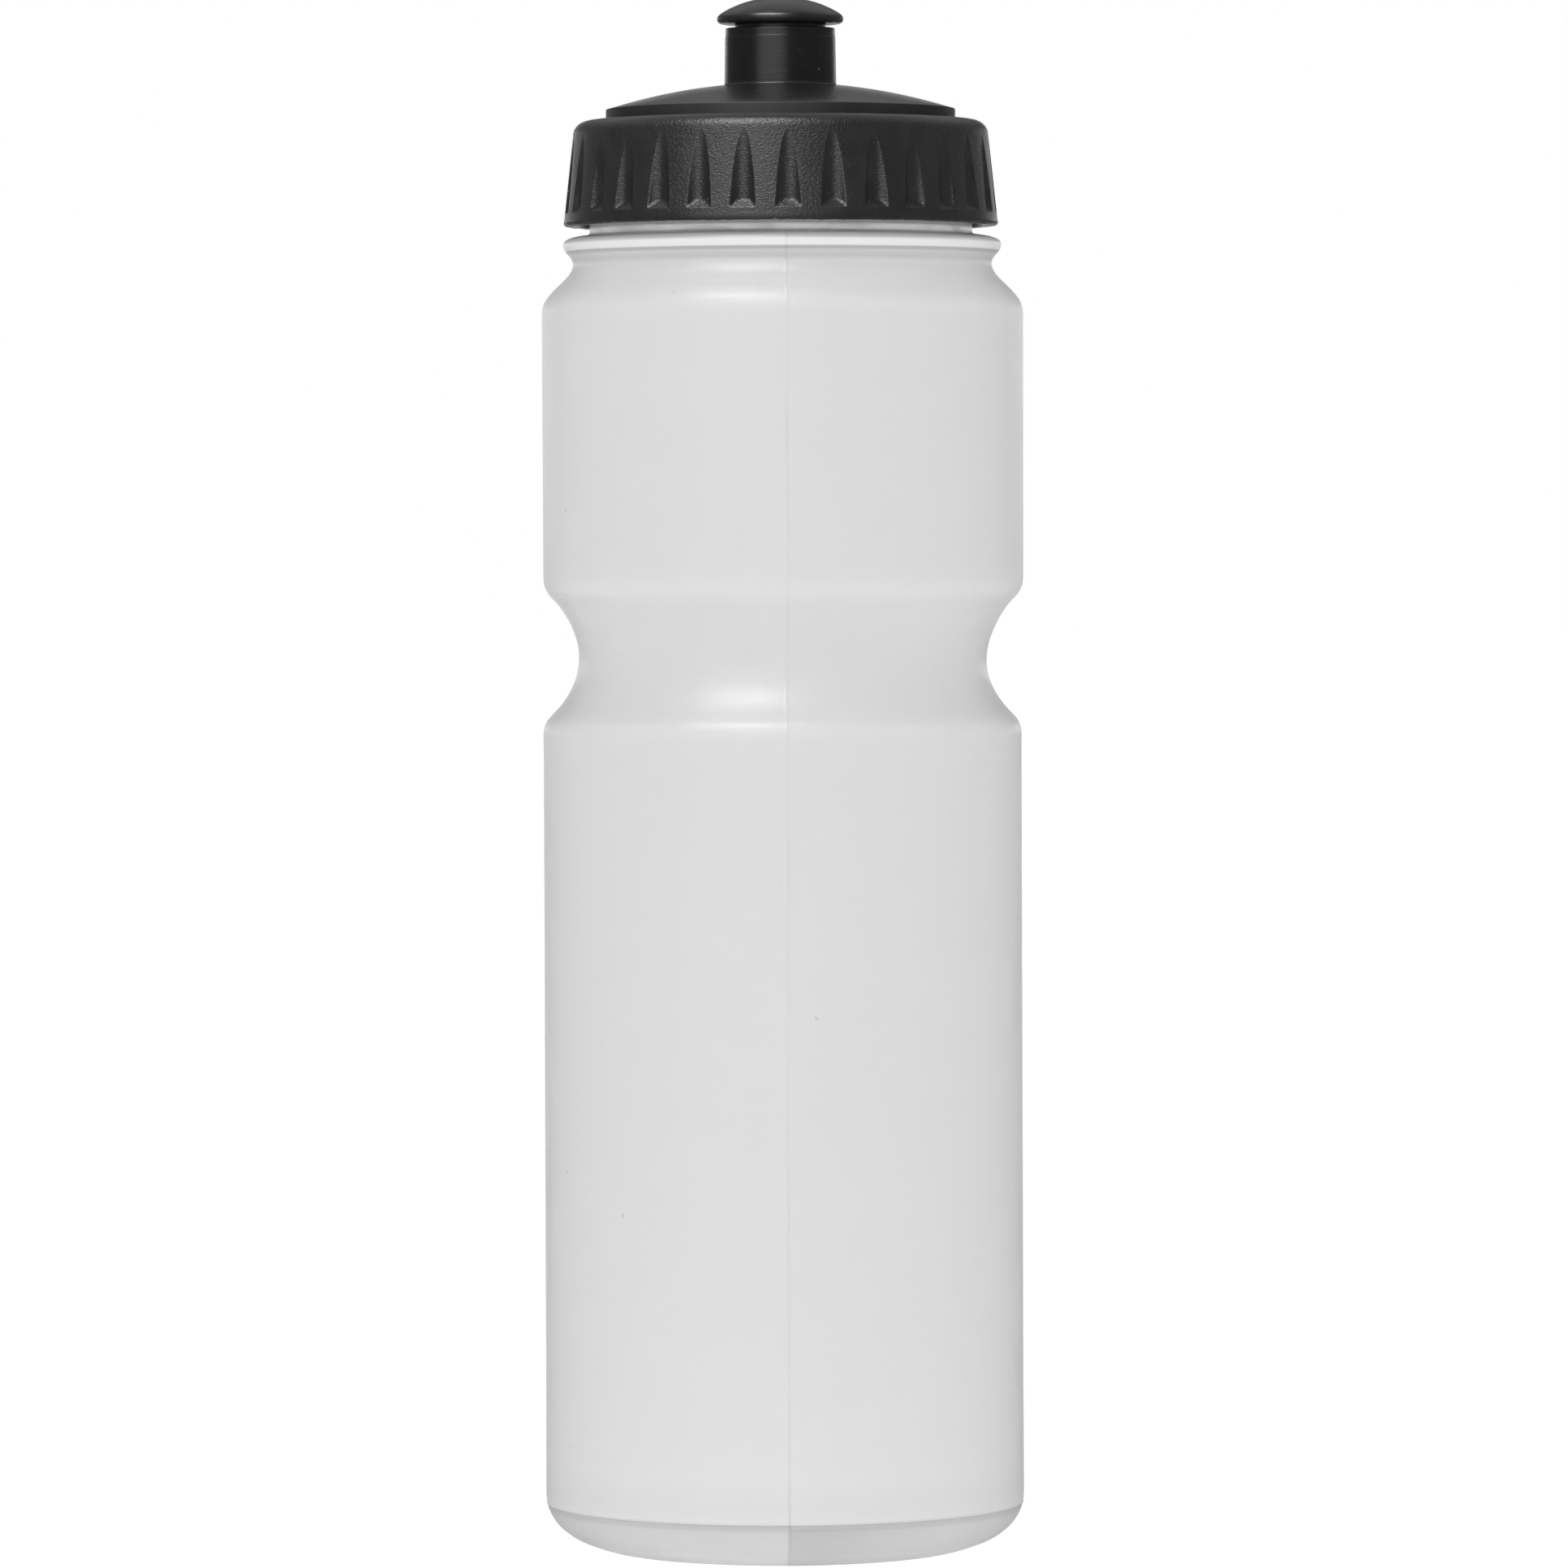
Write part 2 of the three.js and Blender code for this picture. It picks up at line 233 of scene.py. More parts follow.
# inside: the outside moved in by the wall, except under the bead and in the neck
inside_body = shifted(body_outside, WALL)
z_in = inside_body[:, 1]
lower = inside_body[(z_in > 9.5) & (z_in < 196.2)]
heel_in = shifted(body_outside, 1.3)
heel_in = heel_in[(heel_in[:, 1] < 8.6) & (heel_in[:, 0] > 25.5)]
inside = np.vstack([
    [(BORE_R, 214.0), (BORE_R, 209.0), (BORE_R, 205.2)],
    cubic([(BORE_R, 203.4), (28.08, 202.5), (28.4, 201.5), (29.2, 200.4), (30.1, 199.4), (30.8, 198.5),
           (31.15, 197.6), (31.5, 196.7), tuple(lower[-1])])[:-1],
    thinned(lower[::-1], 4.0, 12.0),
    thinned(heel_in[::-1], 5.0),
    [(25.0, 1.4), (23.2, 1.42)],
    thinned(cubic([(22.2, 1.75), (21.2, 2.45), (19.9, 3.35), (18.2, 4.15), (15.5, 4.65), (11, 4.88), (5, 4.98), (0.5, 5.0)]), 6.0),
])

# columns: even ones, with a few more beside the two parting lines
even = np.arange(160) * TAU / 160
near = np.array([0.13, 0.3, 0.62]) / 37.0
extra = np.concatenate([FRONT + s * near for s in (-1, 1)] + [FRONT + math.pi + s * near for s in (-1, 1)])
columns = np.sort(np.mod(np.concatenate([even, extra]), TAU))


def from_parting(angles, r):
    """Distance round the surface from the nearer parting line."""
    return r * np.abs(np.mod(angles - FRONT + math.pi / 2, math.pi) - math.pi / 2)


def seam(angles, r):
    """The fine raised line that the mould's two halves leave."""
    return 0.07 * np.clip(1 - from_parting(angles, r) / 0.26, 0, 1)


def settled(rows):
    """The blown body isn't quite true: above the waist it stands a little to the right."""
    for row in rows:
        z = row[:, 2]
        row[:, 0] += 0.19 * ease((z - 137.0) / 10.0 + 0.4) * (1 - ease((z - 201.3) / 1.7))
    return rows


rows = [np.array([[0.0, 0.0, 3.0]])]
for r, z in thinned(foot, 5.0, 1.5):
    # pinched weld across the hollow of the base
    x = np.abs(r * np.cos(columns))
    weld = 0.6 * ease((1.05 - x) / 0.75) * ease((19.4 - r) / 3.0)
    rows.append(ring_row(columns, r, z - weld))
rows.append(ring_row(columns, 24.4, 0.0))
outer = thinned(body_outside, 2.4, 5.0)
# rows of their own for the base insert's parting line
step_z = 7.3
outer = outer[(outer[:, 1] < step_z - 0.32) | (outer[:, 1] > step_z + 0.32)]
at = lambda z: float(np.interp(z, body_outside[:, 1], body_outside[:, 0]))
line = [(at(step_z - 0.30), step_z - 0.30), (at(step_z - 0.14) + 0.015, step_z - 0.14), (at(step_z) + 0.10, step_z),
        (at(step_z + 0.12) + 0.05, step_z + 0.12), (at(step_z + 0.28), step_z + 0.28)]
i = int(np.searchsorted(outer[:, 1], step_z))
outer = np.vstack([outer[:i], line, outer[i:]])
for r, z in outer:
    above = ease((z - 2.0) / 2.0)
    rows.append(ring_row(columns, r + seam(columns, r) * above, z))
for z in np.arange(204.2, 215.5, 0.17):
    ridge = helix(columns, z, 208.1, 4.0, 1.6, 1.06, 2.0, 0.9)
    rows.append(ring_row(columns, NECK_R + ridge + seam(columns, NECK_R) * (ridge < 0.02), z))
for r, z in neck_top:
    rows.append(ring_row(columns, r, z))
for r, z in inside:
    rows.append(ring_row(columns, r, z))
rows.append(np.array([[0.0, 0.0, 5.0]]))
bottle = skin("bottle_shell", settled(rows))

# ------------------------------------------------------------------ screw cap

PER_FLUTE, FLUTES = 16, 30
PITCH = TAU / FLUTES
SKIRT_LOW, SKIRT_LOW_R, SKIRT_TOP, SKIRT_TOP_R, FILLET = 203.9, 33.43, 220.04, 31.95, 2.3
FLUTE_R, FLUTE_FLOOR, SHELF_LOW, SHELF_SLOPE = 2.25, 31.97, 205.74, 0.95
FLUTE_AXIS = FLUTE_FLOOR + FLUTE_R
FLUTE_TURN = math.radians(1.0)


def skirt_r(z):
    return SKIRT_LOW_R + (z - SKIRT_LOW) * (SKIRT_TOP_R - SKIRT_LOW_R) / (SKIRT_TOP - FILLET - SKIRT_LOW)


def fluted_row(r, z, raise_edge=None):
    """A row of the skirt. Its columns follow each flute's edge, so the edge is crisp.
    A flute ends below in a sloping shelf."""
    half = 0.0
    if FLUTE_FLOOR < r:
        x = (r * r - FLUTE_R * FLUTE_R + FLUTE_AXIS ** 2) / (2 * FLUTE_AXIS)
        half = math.sqrt(max(0.0, r * r - x * x))
    w = max(half, 0.03)
    shelf = skirt_r(SHELF_LOW) - (z - SHELF_LOW) * SHELF_SLOPE
    inner = np.array([0.0, 0.36, 0.68, 0.88, 1.0]) * w
    rest = w + 0.12 + (r * PITCH / 2 - w - 0.12) * np.array([0.0, 0.35, 0.7, 1.0])
    polar = []
    for s in inner:
        cut = r
        if half > 0 and s < half:
            x = FLUTE_AXIS - math.sqrt(max(0.0, FLUTE_R * FLUTE_R - s * s))
            cut = min(r, max(math.hypot(s, x), shelf))
        polar.append((math.asin(min(1.0, s / cut)), cut))
    polar += [(s / r, r) for s in rest]
    polar[-1] = (PITCH / 2, r)
    side = polar[1:-1]
    one = [(-a, rr) for a, rr in reversed(side)] + [polar[0]] + side + [polar[-1]]
    a = np.array([p[0] for p in one])
    rr = np.array([p[1] for p in one])
    angles = np.concatenate([FRONT + FLUTE_TURN + PITCH * k + a for k in range(FLUTES)])
    row = ring_row(angles, np.tile(rr, FLUTES), z)
    if raise_edge is not None:
        row[:, 2] += raise_edge
    return row


fine = len(fluted_row(33.0, 208.0))
assert fine == PER_FLUTE * FLUTES
coarse = fine // 4
# the coarse columns start beside the fine ones that they join
fine_angles = np.concatenate([FRONT + FLUTE_TURN + PITCH * k
                              + (np.arange(PER_FLUTE) - PER_FLUTE / 2 + 1) * PITCH / PER_FLUTE for k in range(FLUTES)])
coarse_angles = fine_angles[::4]

rng = np.random.default_rng(7)
ragged = np.convolve(np.tile(rng.normal(0, 1, fine), 3), [0.2, 0.6, 0.2], "same")[fine:2 * fine]
ragged = np.clip(ragged, -1.6, 1.6) * 0.06
nick = 0.30 * np.exp(-((fine_angles - (FRONT - 0.040)) * 33 / 0.45) ** 2)

domed = lambda r: 225.51 + math.sqrt(88.8 ** 2 - r * r) - math.sqrt(88.8 ** 2 - 8.62 ** 2)

cap_rows = [ring_row(coarse_angles, 31.25, SKIRT_LOW), ring_row(coarse_angles, 31.6, SKIRT_LOW)]
edge = 0.5
for k, deg in enumerate((90, 66, 40, 18, 0)):
    t = math.radians(deg)
    r = SKIRT_LOW_R - edge + edge * math.cos(t)
    z = SKIRT_LOW + edge - edge * math.sin(t)
    share = 1 - k / 4
    cap_rows.append(fluted_row(r, z, (ragged + nick) * share))
zs = set(np.round(np.r_[204.9, 205.4, SHELF_LOW + np.array([-0.14, -0.03, 0.03, 0.12, 0.24, 0.37, 0.5, 0.63, 0.76,
                                                            0.88, 1.0, 1.12, 1.24, 1.36, 1.5]),
                        207.9, np.arange(208.6, 216.0, 0.85),
                        217.5 - np.array([1.2, .9, .65, .45, .28, .15, .06, 0]), 217.62], 3))
for z in sorted(zs):
    cap_rows.append(fluted_row(skirt_r(z), z))
for deg in (0, 9, 18, 27, 36, 45, 54, 63, 72, 81, 90):
    t = math.radians(deg)
    cap_rows.append(fluted_row(SKIRT_TOP_R - FILLET + FILLET * math.cos(t), SKIRT_TOP - FILLET + FILLET * math.sin(t)))

dome_line = [(r, domed(r)) for r in (26.45, 24.5, 22.5, 20.5, 18.5, 16.5, 14.5, 12.5, 10.8, 9.4)]
upper = rounded(
    [(28.9, SKIRT_TOP, 0), (26.87, SKIRT_TOP, 0.14), (26.87, 221.82, 0.16), (26.62, domed(26.62) - 0.02, 0.1)]
    + [(r, z, 0) for r, z in dome_line]
    + [(8.62, domed(8.62), 0.22), (8.585, 227.5, 0), (8.54, 230.0, 0), (8.50, 232.84, 0.03), (8.45, 232.9, 0.03),
       (8.43, 233.4, 0), (8.43, 234.26, 0.24), (7.3, 234.26, 0.05), (7.10, 234.02, 0.1), (7.10, 232.9, 0.12),
       (7.45, 232.5, 0.15), (7.45, 229.0, 0), (7.45, 226.5, 0), (7.45, domed(7.45) - 1.6, 0.3)]
    + [(r, domed(r) - 1.6, 0) for r in (10.5, 14.0, 18.0, 22.0, 24.2)]
    + [(25.27, domed(25.27) - 1.62, 0.8), (25.27, 218.3, 0.25), (30.75, 218.3, 0.35), (30.75, 216.9, 0)])
for r, z in upper:
    cap_rows.append(ring_row(coarse_angles, r, z))
for z in np.arange(216.6, 204.9, -0.19):
    ridge = helix(coarse_angles, z, 206.65, 4.0, 1.5, 0.95, 1.5, 0.7)
    cap_rows.append(ring_row(coarse_angles, 30.75 - ridge, z))
cap_rows.append(ring_row(coarse_angles, 30.75, 204.6))
cap = skin("cap_shell", cap_rows, loop=True)

# the pin that plugs the mouthpiece, on three spokes in the foot of the tower
pin_line = rounded([
    (0, 222.2, 0), (2.5, 222.2, 0.35), (2.95, 222.7, 0.2), (2.95, 224.5, 0.3), (1.9, 226.2, 0.8), (1.9, 234.0, 0.3),
    (2.3, 234.6, 0.2), (2.3, 238.4, 0.3), (0, 238.4, 0)])
pin = turned("outlet_pin", pin_line, 48)


def spoke(index):
    """A rounded bar from the pin's hub into the tower's foot."""
    turn = math.radians(120 * index + 90)
    section = rounded([(-0.9, 222.5, 0.3), (0.9, 222.5, 0.3), (0.9, 224.6, 0.45), (-0.9, 224.6, 0.45)], closed=True)
    verts, faces, n = [], [], len(section)
    stations = [(2.2, 1.06), (3.3, 1.0), (4.6, 0.96), (6.2, 1.0), (7.55, 1.1)]
    mid = 223.55
    for x, wide in stations:
        for y, z in section:
            p = Matrix.Rotation(turn, 3, "Z") @ Vector((x, y * wide, mid + (z - mid) * wide))
            verts.append(p * MM)
    for s in range(len(stations) - 1):
        for j in range(n):
            k = (j + 1) % n
            faces.append((s * n + j, s * n + k, (s + 1) * n + k, (s + 1) * n + j))
    faces.append(tuple(reversed(range(n))))
    faces.append(tuple((len(stations) - 1) * n + j for j in range(n)))
    mesh = bpy.data.meshes.new("spoke_%d" % (index + 1))
    mesh.from_pydata(verts, [], faces)
    mesh.validate()
    mesh.polygons.foreach_set("use_smooth", [len(p.vertices) == 4 for p in mesh.polygons])
    obj = bpy.data.objects.new(mesh.name, mesh)
    scene.collection.objects.link(obj)
    return obj


spokes = [spoke(i) for i in range(3)]

# ----------------------------------------------------------------- mouthpiece

crown = cubic([
    (2.66, 238.865), (3.6, 238.74), (4.75, 238.46), (5.93, 238.1), (6.85, 237.74), (7.68, 237.37), (8.41, 236.99),
    (9.03, 236.61), (9.47, 236.25), (9.69, 235.9), (9.72, 235.58), (9.6, 235.26), (9.32, 235.02), (8.95, 234.92),
    (8.6, 234.9)], 0.05)
mouth_line = np.vstack([
    rounded([(6.2, 225.0, 0), (7.0, 225.0, 0.12), (7.35, 225.5, 0.18), (7.35, 226.2, 0.15), (6.95, 226.6, 0.15),
             (6.95, 229.5, 0), (6.95, 232.5, 0), (6.95, 234.9, 0.3), (7.9, 234.9, 0)]),
    thinned(crown, 5.0)[::-1],
    rounded([(2.5, 238.875, 0), (2.4, 238.8, 0.06), (2.4, 237.0, 0.12), (4.6, 237.0, 0.3), (5.6, 235.9, 0.4), (5.6, 230.0, 0),
             (5.6, 225.0, 0.2), (5.95, 225.0, 0)]),
])
mouthpiece = turned("mouthpiece_head", mouth_line, 112, loop=True)

# --------------------------------------------------------------- sealing ring

ring = turned("seal_ring", rounded([(27.2, 216.95, 0.25), (30.4, 216.95, 0.25), (30.4, 218.15, 0.25), (27.2, 218.15, 0.25)],
                                   closed=True), 96, loop=True)


# ------------------------------------------------------------------ materials

class Graph:
    """Short names for building a node tree."""

    def __init__(self, tree):
        self.tree = tree

    def add(self, kind, **inputs):
        n = self.tree.nodes.new(kind)
        for key, value in inputs.items():
            self.put(n.inputs[key], value)
        return n

    def put(self, socket, value):
        if isinstance(value, bpy.types.NodeSocket):
            self.tree.links.new(value, socket)
        else:
            socket.default_value = value

    def math(self, operation, *values):
        n = self.tree.nodes.new("ShaderNodeMath")
        n.operation = operation
        for s, v in zip(n.inputs, values):
            self.put(s, v)
        return n.outputs[0]

    def band(self, value, low, high, to_low=0.0, to_high=1.0):
        """A smooth step. With low above high it falls instead of rising."""
        if low > high:
            low, high, to_low, to_high = high, low, to_high, to_low
        n = self.tree.nodes.new("ShaderNodeMapRange")
        n.interpolation_type = "SMOOTHSTEP"
        for key, v in (("Value", value), ("From Min", low), ("From Max", high), ("To Min", to_low), ("To Max", to_high)):
            self.put(n.inputs[key], v)
        return n.outputs["Result"]


class Surface(Graph):
    """A Principled material in the making."""

    def __init__(self, name):
        self.material = bpy.data.materials.new(name)
        self.material.use_nodes = True
        super().__init__(self.material.node_tree)
        self.shader = self.tree.nodes["Principled BSDF"]
        self.where = self.add("ShaderNodeTexCoord").outputs["Object"]
        self.xyz = self.add("ShaderNodeSeparateXYZ", Vector=self.where).outputs

    def noise(self, scale, detail=2.0, stretch=None, rough=0.5, distortion=0.0, kind="FBM"):
        v = self.where
        if stretch:
            v = self.add("ShaderNodeMapping", Vector=v, Scale=stretch).outputs[0]
        n = self.tree.nodes.new("ShaderNodeTexNoise")
        n.noise_type = kind
        for key, value in (("Vector", v), ("Scale", scale), ("Detail", detail), ("Roughness", rough), ("Distortion", distortion)):
            self.put(n.inputs[key], value)
        return n.outputs["Fac"]

    def specks(self, scale, size, chance):
        """1 in small round specks, scattered at random."""
        n = self.tree.nodes.new("ShaderNodeTexVoronoi")
        for key, value in (("Vector", self.where), ("Scale", scale)):
            self.put(n.inputs[key], value)
        chosen = self.math("LESS_THAN", self.add("ShaderNodeSeparateColor", Color=n.outputs["Color"]).outputs[0], chance)
        return self.math("MULTIPLY", self.band(n.outputs["Distance"], size, size * 0.4), chosen)

    def mix(self, share, a, b):
        n = self.tree.nodes.new("ShaderNodeMix")
        n.data_type = "RGBA"
        self.put(n.inputs[0], share)
        self.put(n.inputs[6], a)
        self.put(n.inputs[7], b)
        return n.outputs[2]

    def bump(self, height, distance, strength=1.0, normal=None):
        n = self.tree.nodes.new("ShaderNodeBump")
        n.inputs["Strength"].default_value = strength
        n.inputs["Distance"].default_value = distance
        self.put(n.inputs["Height"], height)
        if normal is not None:
            self.put(n.inputs["Normal"], normal)
        return n.outputs[0]

    def set(self, **values):
        for key, value in values.items():
            self.put(self.shader.inputs[key.replace("_", " ")], value)
        return self.material


def grey(v):
    return (v, v, v, 1.0)


def bottle_material():
    g = Surface("ldpe_milky")
    x, y, z = g.xyz
    cloud = g.noise(22.0, 3.0, stretch=(1, 1, 0.35))
    scuff = g.noise(1500.0, 3.0, stretch=(1, 1, 2.0), rough=0.6)
    marks = g.band(scuff, 0.60, 0.80)
    tone = g.mix(g.band(cloud, 0.3, 0.7), grey(0.865), grey(0.885))
    tone = g.mix(g.math("MULTIPLY", marks, 0.06), tone, grey(0.78))
    dust = g.specks(240.0, 0.10, 0.035)
    tone = g.mix(g.math("MULTIPLY", dust, 0.35), tone, grey(0.45))
    # painted shade: the base colour is darkened beside the thick lower base and in bands under the black cap, with
    # painted light at the bottom of the foot and at the neck's root
    heel_shade = g.math("MULTIPLY", g.band(z, 0.0074, 0.0150, 0.90, 1.0), g.band(z, 0.00715, 0.00735, 0.80, 1.0))
    # painted light: lighter towards the bottom of the foot
    heel_shade = g.math("ADD", heel_shade, g.band(z, 0.0028, 0.0006, 0.0, 0.09))
    # painted shade: a dark band along the base insert's seam
    insert_seam_shade = g.math("MULTIPLY", g.band(z, 0.00698, 0.00716), g.band(z, 0.00758, 0.00738))
    heel_shade = g.math("SUBTRACT", heel_shade, g.math("MULTIPLY", insert_seam_shade, 0.13))
    # painted shade: the right half of the lower base, below the seam, darker
    right_heel_shade = g.math("MULTIPLY", g.math("MULTIPLY", g.band(x, 0.0, 0.0002), g.band(x, 0.027, 0.002)), g.band(z, 0.0072, 0.0060))
    heel_shade = g.math("SUBTRACT", heel_shade, g.math("MULTIPLY", right_heel_shade, 0.10))
    # painted shade: a darker band just under the base insert's seam
    below = g.math("MULTIPLY", g.band(z, 0.0060, 0.0066), g.band(z, 0.0072, 0.0070))
    heel_shade = g.math("SUBTRACT", heel_shade, g.math("MULTIPLY", below, 0.08))
    # painted shade: dark bands under the bead, in its lower fold, along its top edge and on the step at the neck's
    # foot
    under = g.math("MULTIPLY", g.band(z, 0.1976, 0.1986), g.band(z, 0.2002, 0.1999))
    bead_crease_shade = g.math("MULTIPLY", g.band(z, 0.1993, 0.1997), g.band(z, 0.2001, 0.1999))
    bead_rim_shade = g.math("MULTIPLY", g.band(z, 0.2009, 0.2015), g.band(z, 0.2023, 0.2021))
    painted_collar_shading = g.math("SUBTRACT", 1.0, g.math("MULTIPLY", under, 0.20))
    painted_collar_shading = g.math("SUBTRACT", painted_collar_shading, g.math("MULTIPLY", bead_crease_shade, 0.20))
    painted_collar_shading = g.math("SUBTRACT", painted_collar_shading, g.math("MULTIPLY", bead_rim_shade, 0.42))
    neck_ledge_shade = g.math("MULTIPLY", g.band(z, 0.2020, 0.2022), g.band(z, 0.2026, 0.2024))
    painted_collar_shading = g.math("SUBTRACT", painted_collar_shading, g.math("MULTIPLY", neck_ledge_shade, 0.40))
    # painted light: a lighter band on the neck just above that step
    painted_collar_shading = g.math("ADD", painted_collar_shading, g.band(z, 0.2025, 0.2028, 0.0, 0.16))
    # painted shade: a thin dark line along the parting lines, darker towards the base
    offset = g.math("SUBTRACT", x, g.band(z, 0.133, 0.143, 0.0, 0.00019))
    parting = g.band(g.math("ABSOLUTE", offset), 0.00032, 0.00010, 0.0, 0.075)
    parting = g.math("ADD", parting, g.math("MULTIPLY", parting, g.band(z, 0.045, 0.004, 0.0, 0.9)))
    painted_collar_shading = g.math("SUBTRACT", painted_collar_shading, parting)
    # the painted shade and light above are multiplied into the base colour
    tone = g.mix(g.math("MULTIPLY", heel_shade, painted_collar_shading), grey(0.0), tone)
    fine = g.noise(2600.0, 2.0)
    wave = g.noise(38.0, 2.0, stretch=(1, 1, 0.5))
    streak = g.noise(420.0, 2.0, stretch=(1, 1, 0.06))
    shoulder = g.math("MULTIPLY", g.band(z, 0.1880, 0.1905), g.band(z, 0.2030, 0.2020))
    waist = g.math("MULTIPLY", g.band(z, 0.1230, 0.1280), g.band(z, 0.1500, 0.1460))
    shoulder = g.math("ADD", shoulder, g.math("MULTIPLY", waist, 0.45))
    drag = g.noise(900.0, 3.0, stretch=(0.03, 0.03, 1.0), rough=0.6)
    normal = g.bump(wave, 0.00035)
    normal = g.bump(g.math("MULTIPLY", drag, shoulder), 0.00010, normal=normal)
    normal = g.bump(streak, 0.00002, normal=normal)
    normal = g.bump(fine, 0.00001, normal=normal)
    rough = g.math("ADD", g.band(g.noise(90.0, 3.0), 0.3, 0.7, 0.285, 0.345), g.math("MULTIPLY", marks, 0.03))
    # painted light: a faint noisy emission glows at the root of the neck, standing in for light carried inside the
    # wall
    root = g.math("MULTIPLY", g.band(z, 0.2024, 0.2028), g.band(z, 0.2037, 0.2032))
    root = g.math("MULTIPLY", root, g.band(g.noise(210.0, 3.0, stretch=(1, 1, 3.0)), 0.35, 0.6, 0.55, 1.0))
    g.set(Emission_Color=grey(1.0), Emission_Strength=g.math("MULTIPLY", root, 0.26))
    return g.set(Base_Color=tone, Roughness=rough, Normal=normal, IOR=1.51, Specular_IOR_Level=0.27,
                 Subsurface_Weight=1.0, Subsurface_Radius=(1.0, 1.0, 1.0), Subsurface_Scale=0.0026)


def cap_material():
    g = Surface("polythene_black_grained")
    x, y, z = g.xyz
    radius = g.math("SQRT", g.math("ADD", g.math("MULTIPLY", x, x), g.math("MULTIPLY", y, y)))
    # 1 on the skirt, fading out on its top fillet and along the bottom band
    skirt = g.math("MULTIPLY", g.band(radius, 0.0306, 0.0314), g.band(z, 0.2199, 0.2186))
    skirt = g.math("MULTIPLY", skirt, g.band(z, 0.2040, 0.2062, 0.35, 1.0))
    tower = g.math("MULTIPLY", g.band(radius, 0.0090, 0.0087), g.band(z, 0.2256, 0.2262))
    wrinkle = g.noise(2300.0, 2.5, stretch=(1, 1, 1.7), rough=0.6, distortion=0.25)
    satin = g.noise(3200.0, 2.0)
    wave = g.noise(60.0, 2.0)
    rings = g.noise(5200.0, 3.0, stretch=(0.004, 0.004, 1.0), rough=0.7)
    mottle = g.noise(260.0, 3.0)
    tone = g.mix(g.band(mottle, 0.3, 0.7), grey(0.0170), grey(0.0225))
    tone = g.mix(tower, tone, grey(0.0085))
    dust = g.specks(520.0, 0.13, 0.05)
    tone = g.mix(g.math("MULTIPLY", dust, 0.55), tone, grey(0.16))
    rub = g.band(g.noise(700.0, 3.0, rough=0.7), 0.62, 0.75)
    tone = g.mix(g.math("MULTIPLY", rub, 0.25), tone, grey(0.05))
    normal = g.bump(wave, 0.00006)
    normal = g.bump(g.math("MULTIPLY", wrinkle, skirt), 0.00012, normal=normal)
    normal = g.bump(g.math("MULTIPLY", rings, tower), 0.00003, normal=normal)
    normal = g.bump(satin, 0.000006, normal=normal)
    wall = g.math("MULTIPLY", g.band(radius, 0.02668, 0.02680), g.band(radius, 0.0272, 0.0270))
    rough = g.math("SUBTRACT", 0.28, g.math("MULTIPLY", tower, 0.055))
    rough = g.math("ADD", rough, g.math("MULTIPLY", wall, 0.22))
    rough = g.math("ADD", rough, g.math("MULTIPLY", g.band(mottle, 0.4, 0.8), 0.045))
    return g.set(Base_Color=tone, Roughness=rough, Normal=normal, IOR=1.5)


def mouthpiece_material():
    g = Surface("polythene_black_satin")
    mottle = g.noise(300.0, 3.0)
    tone = g.mix(g.band(mottle, 0.3, 0.7), grey(0.0165), grey(0.0215))
    dust = g.specks(600.0, 0.12, 0.04)
    tone = g.mix(g.math("MULTIPLY", dust, 0.5), tone, grey(0.14))
    normal = g.bump(g.noise(90.0, 2.0), 0.00004)
    normal = g.bump(g.noise(3400.0, 2.0), 0.000006, normal=normal)
    rough = g.band(mottle, 0.3, 0.8, 0.28, 0.34)
    return g.set(Base_Color=tone, Roughness=rough, Normal=normal, IOR=1.5)


def seal_material():
    g = Surface("silicone_clear")
    tone = g.mix(g.noise(200.0, 2.0), grey(0.60), grey(0.68))
    rough = g.band(g.noise(500.0, 2.0), 0.3, 0.7, 0.45, 0.55)
    return g.set(Base_Color=tone, Roughness=rough, Normal=g.bump(g.noise(1500.0, 2.0), 0.00001), IOR=1.41,
                 Subsurface_Weight=0.6, Subsurface_Radius=(1.0, 1.0, 1.0), Subsurface_Scale=0.001)


milky, black, satin_black, silicone = bottle_material(), cap_material(), mouthpiece_material(), seal_material()
for obj, material, body, slot in (
        (bottle, milky, "bottle_body", "bottle_wall"),
        (cap, black, "cap_body", "cap_black"),
        (pin, satin_black, "cap_body", "cap_black"),
        *((s, satin_black, "cap_body", "cap_black") for s in spokes),
        (mouthpiece, satin_black, "mouthpiece_body", "mouthpiece_black"),
        (ring, silicone, "ring_body", "seal")):
    obj.data.materials.append(material)
    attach(obj, body)
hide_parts("bottle")
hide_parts("screw_cap")
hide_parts("mouthpiece")
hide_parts("sealing_ring")

# -------------------------------------------------------------- floor and light

FRONT_LIGHT, BACK_LIGHT, TOP_LIGHT, KEY_LIGHT, OVERHEAD_WATTS = 1.04, 0.06, 0.80, 2.6, 11.0

floor_mesh = bpy.data.meshes.new("floor")
size = 12.0
floor_mesh.from_pydata([(-size, -size, 0), (size, -size, 0), (size, size, 0), (-size, size, 0)], [], [(0, 1, 2, 3)])
floor = bpy.data.objects.new("floor", floor_mesh)
floor.location.z = -0.00006
scene.collection.objects.link(floor)
paper = bpy.data.materials.new("white_floor")
paper.use_nodes = True
sheet = paper.node_tree.nodes["Principled BSDF"]
sheet.inputs["Base Color"].default_value = grey(0.90)
sheet.inputs["Roughness"].default_value = 0.9
sheet.inputs["Specular IOR Level"].default_value = 0.0
sheet.inputs["Emission Color"].default_value = grey(1.0)
